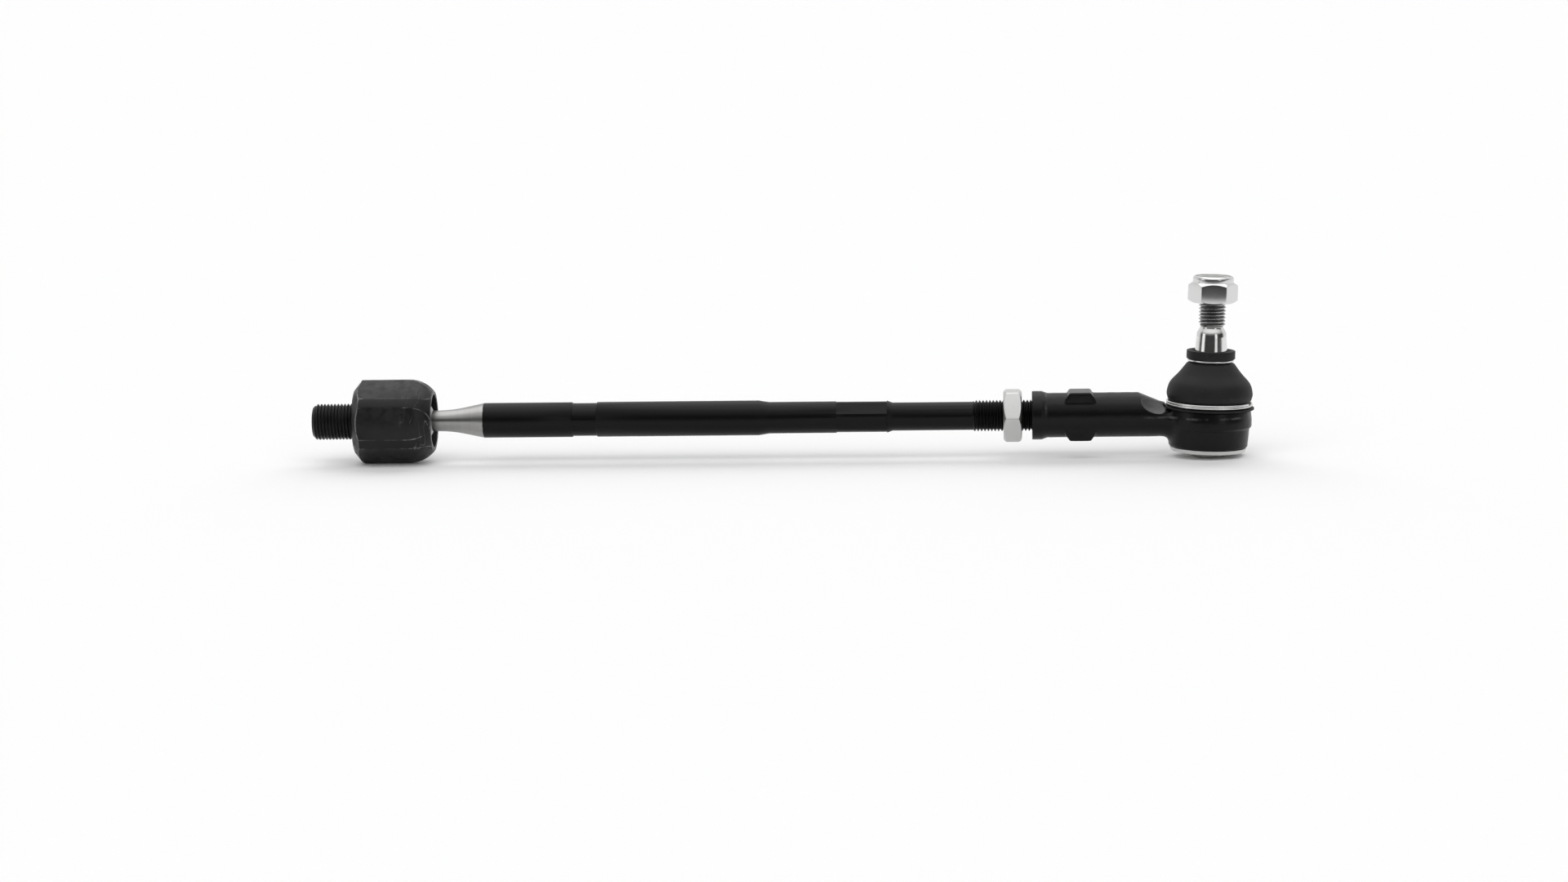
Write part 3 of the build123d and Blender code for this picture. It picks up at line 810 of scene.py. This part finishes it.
def forged_rod_end():
    """Voxel copy of the CAD forging whose edges and corners are rounded like a drop forging's."""
    rough = linked("rough_forging", NODES["rod_end_housing"].data.copy())
    remesh = rough.modifiers.new("voxels", "REMESH")
    remesh.mode = "VOXEL"
    remesh.voxel_size = 0.42 * MM
    mesh = evaluated_mesh(rough)
    rough.modifiers.clear()
    rough.data = mesh
    smoothed(rough, root_softness, factor=0.9, iterations=90)
    smoothed(rough, edge_softness, factor=0.9, iterations=10)
    smoothed(rough, everywhere, factor=0.5, iterations=2)
    final = rough.data
    bpy.data.objects.remove(rough)
    moved = []
    for vertex in final.vertices:
        moved += tuple(forged_skin(vertex))
    final.vertices.foreach_set("co", moved)
    slot, body, node = "black_forging", "rod_end", "rod_end_housing"
    return piece_from("rod_end_forging", final, slot, body, node, smooth_angle=80)


forged_rod_end()


# Dust boot

def curve_through(points, steps):
    """Points along a smooth line through a few given ones."""
    result = []
    ends = [points[0] * 2 - points[1]] + points + [points[-1] * 2 - points[-2]]
    for i in range(1, len(ends) - 2):
        a, b, c, d = ends[i - 1:i + 3]
        for step in range(steps):
            t = step / steps
            spread = (c - a) * t + (a * 2 - b * 5 + c * 4 - d) * t ** 2 + (b * 3 - a - c * 3 + d) * t ** 3
            result.append(b + spread * 0.5)
    result.append(points[-1])
    return result


def vectors(*points):
    return [Vector(point) for point in points]


def dust_boot():
    """Bell-shaped boot with a thin lip at its foot and a dished lip round the stud."""
    foot = vectors((16.25, 2.6), (19.75, 2.6), (19.75, 3.4), (17.95, 3.45), (17.95, 6.55))
    bell = vectors((18.4, 6.6), (18.9, 9.5), (17.6, 13.8), (13.8, 18.1), (10.5, 22.4))
    neck = vectors((8.85, 23.25), (8.85, 24.55), (10.7, 24.55), (10.7, 28.2))
    lip = vectors((9.3, 28.2), (7.45, 27.0), (7.45, 20.8))
    inner = vectors((8.9, 20.8), (12.2, 16.5), (16.0, 13.0), (17.3, 9.5), (16.25, 7.0))
    loop = foot + curve_through(bell, 9) + neck + lip + curve_through(inner, 7)
    points = [(point.x * MM, point.y * MM) for point in loop]
    section = rounded_corners(points, 0.28 * MM, steps=2)
    bm = spun(lambda angle: section, segments=192)
    bmesh.ops.transform(bm, matrix=OUTER_JOINT, verts=bm.verts)
    mesh = mesh_from("dust_boot_rubber", bm)
    boot = piece_from("dust_boot_rubber", mesh, "boot_rubber", None, "dust_boot", smooth_angle=50)
    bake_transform(boot)
    return boot


dust_boot()


# CAD nodes that stay

KEPT = {
    "inner_ball_seat": "seat_plastic",
    "outer_ball_seat": "seat_plastic",
    "cover_plate": "zinc_plate",
    "upper_boot_clip": "spring_wire",
    "stud_nut_insert": "insert_plastic",
}
for node, slot in KEPT.items():
    NODES[node].data.materials.clear()
    NODES[node].data.materials.append(MATERIALS[slot])


# Floor, light and camera

def floor():
    """Wide pale floor that keeps the part's shadow, and is dark in reflections where it lies in front."""
    mesh = bpy.data.meshes.new("floor")
    reach = 30.0
    corners = [(-reach, -reach), (reach, -reach), (reach, reach), (-reach, reach)]
    mesh.from_pydata([(x, y, FLOOR_Z) for x, y in corners], [], [(0, 1, 2, 3)])
    obj = linked("floor", mesh)
    s = Shader("floor_paper")
    grain = s.noise(900, detail=2)
    glossy = s.node("LightPath", {}, output="Is Glossy Ray")
    front = s.times(s.ramp(s.coordinate("Y"), -0.40, -0.26, 1.0, 0.0), glossy)
    paper = s.colour(grain, (0.93, 0.93, 0.93), (0.95, 0.95, 0.95))
    dark = s.colour(grain, (0.08, 0.08, 0.08), (0.09, 0.09, 0.09))
    mesh.materials.append(s.finish(
        Base_Color=s.colour(front, paper, dark),
        Roughness=0.9,
        Specular_IOR_Level=0.0,
    ))


def world():
    """Studio round the table: bright overhead, pale behind, dim in front but for two panels.

    It lights matt surfaces less than it shows in reflections, and the camera sees it white.
    """
    made = bpy.data.worlds.new("studio")
    bpy.context.scene.world = made
    made.use_nodes = True
    s = Nodes(made.node_tree)
    direction = s.node("TexCoord", {}, output="Generated")
    x, y, z = (s.node("SeparateXYZ", {0: direction}, output=axis) for axis in "XYZ")
    overhead = s.ramp(z, 0.25, 0.82, 0.05, 1.0)
    backdrop = s.ramp(y, -0.10, 0.40, 0.0, 0.85)
    strength = s.largest(overhead, backdrop)

    azimuth = s.math("ARCTAN2", x, s.times(y, -1.0))
    low = s.ramp(z, 0.35, 0.60, 1.0, 0.0)
    for degrees, half_width in ((-65, 13), (34, 10)):
        inner, outer = math.radians(half_width - 5), math.radians(half_width + 3)
        panel = s.ramp(s.apart(azimuth, math.radians(degrees)), inner, outer, 1.15, 0.0)
        strength = s.largest(strength, s.times(panel, low))

    kinds = ("Is Glossy Ray", "Is Transmission Ray", "Is Camera Ray")
    glossy, transmission, camera_ray = (s.node("LightPath", {}, output=kind) for kind in kinds)
    dimmed = s.times(strength, s.blend(s.largest(glossy, transmission), 0.35, 1.0))
    background = s.tree.nodes["Background"]
    s.feed(background, "Strength", s.largest(dimmed, camera_ray))
    s.feed(background, "Color", (1, 1, 1, 1))


def lamp(name, energy, degrees, tilt, glossy, diffuse):
    """Very wide distant light, tilted from straight above to the front, or to the back below zero."""
    light = bpy.data.lights.new(name, "SUN")
    light.energy = energy
    light.angle = math.radians(degrees)
    obj = linked(name, light)
    obj.rotation_euler = Euler((math.radians(tilt), 0, 0))
    obj.visible_glossy = glossy
    obj.visible_diffuse = diffuse


def camera():
    """Long lens at the photograph's angle: from the front, a little above and to the right."""
    middle, below, distance = 191.05, -10.5, 1.812
    target = Vector((middle, 0, below)) * MM
    yaw, pitch, roll = math.radians(3.2), math.radians(7.75), math.radians(-0.97)
    back = Vector((math.sin(yaw) * math.cos(pitch), -math.cos(yaw) * math.cos(pitch), math.sin(pitch)))
    data = bpy.data.cameras.new("camera")
    data.lens = 93.75
    data.sensor_width = 36
    obj = linked("camera", data)
    obj.location = Vector((middle * MM, 0, 0)) + back * distance
    look = (target - obj.location).to_track_quat("-Z", "Y").to_matrix().to_4x4()
    obj.matrix_world = Matrix.Translation(obj.location) @ look @ Matrix.Rotation(roll, 4, "Z")
    bpy.context.scene.camera = obj


floor()
world()
lamp("front_light", energy=1.75, degrees=80, tilt=44, glossy=False, diffuse=True)
lamp("back_light", energy=2.1, degrees=76, tilt=-57, glossy=False, diffuse=True)
lamp("top_gleam", energy=0.95, degrees=70, tilt=-8, glossy=True, diffuse=False)
camera()
bpy.context.scene.view_settings.view_transform = "Standard"
